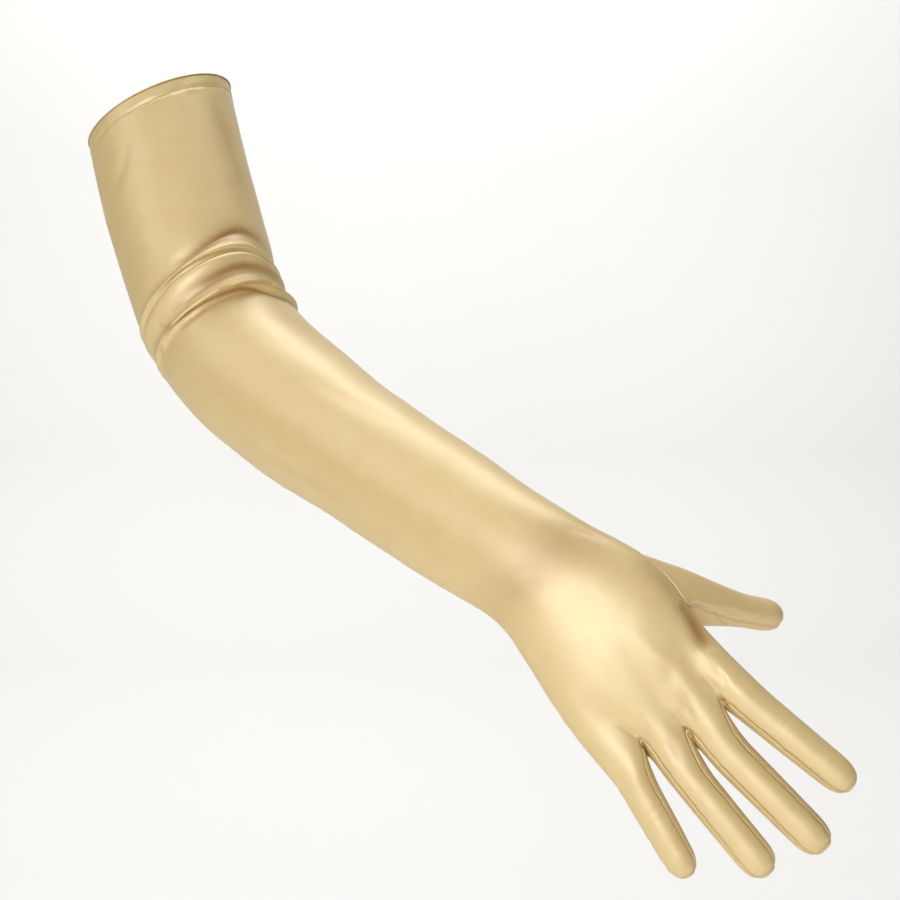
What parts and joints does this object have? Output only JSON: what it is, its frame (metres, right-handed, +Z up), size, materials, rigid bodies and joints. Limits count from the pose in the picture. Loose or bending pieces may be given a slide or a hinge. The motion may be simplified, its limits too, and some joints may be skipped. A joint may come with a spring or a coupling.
{
  "type": "long satin glove",
  "caption": "Opera-length satin glove for the right hand, worn form with bent elbow, soft folds at the crook, sewn finger sides and an open arm end.",
  "frame": {"origin": "middle of the arm opening, at the glove's upper edge", "axes": "+Z up as the glove is worn with the elbow bent; the back of the hand faces -Y; +X points from the elbow towards the fingers"},
  "size_m": [0.3835, 0.2424, 0.4001],
  "materials": {
    "satin": "champagne gold stretch satin"
  },
  "bodies": {
    "root": {"trank": "satin", "thumb": "satin", "fourchette_little_ring": "satin", "fourchette_ring_middle": "satin", "fourchette_middle_index": "satin", "hem": "satin"}
  },
  "joints": []
}
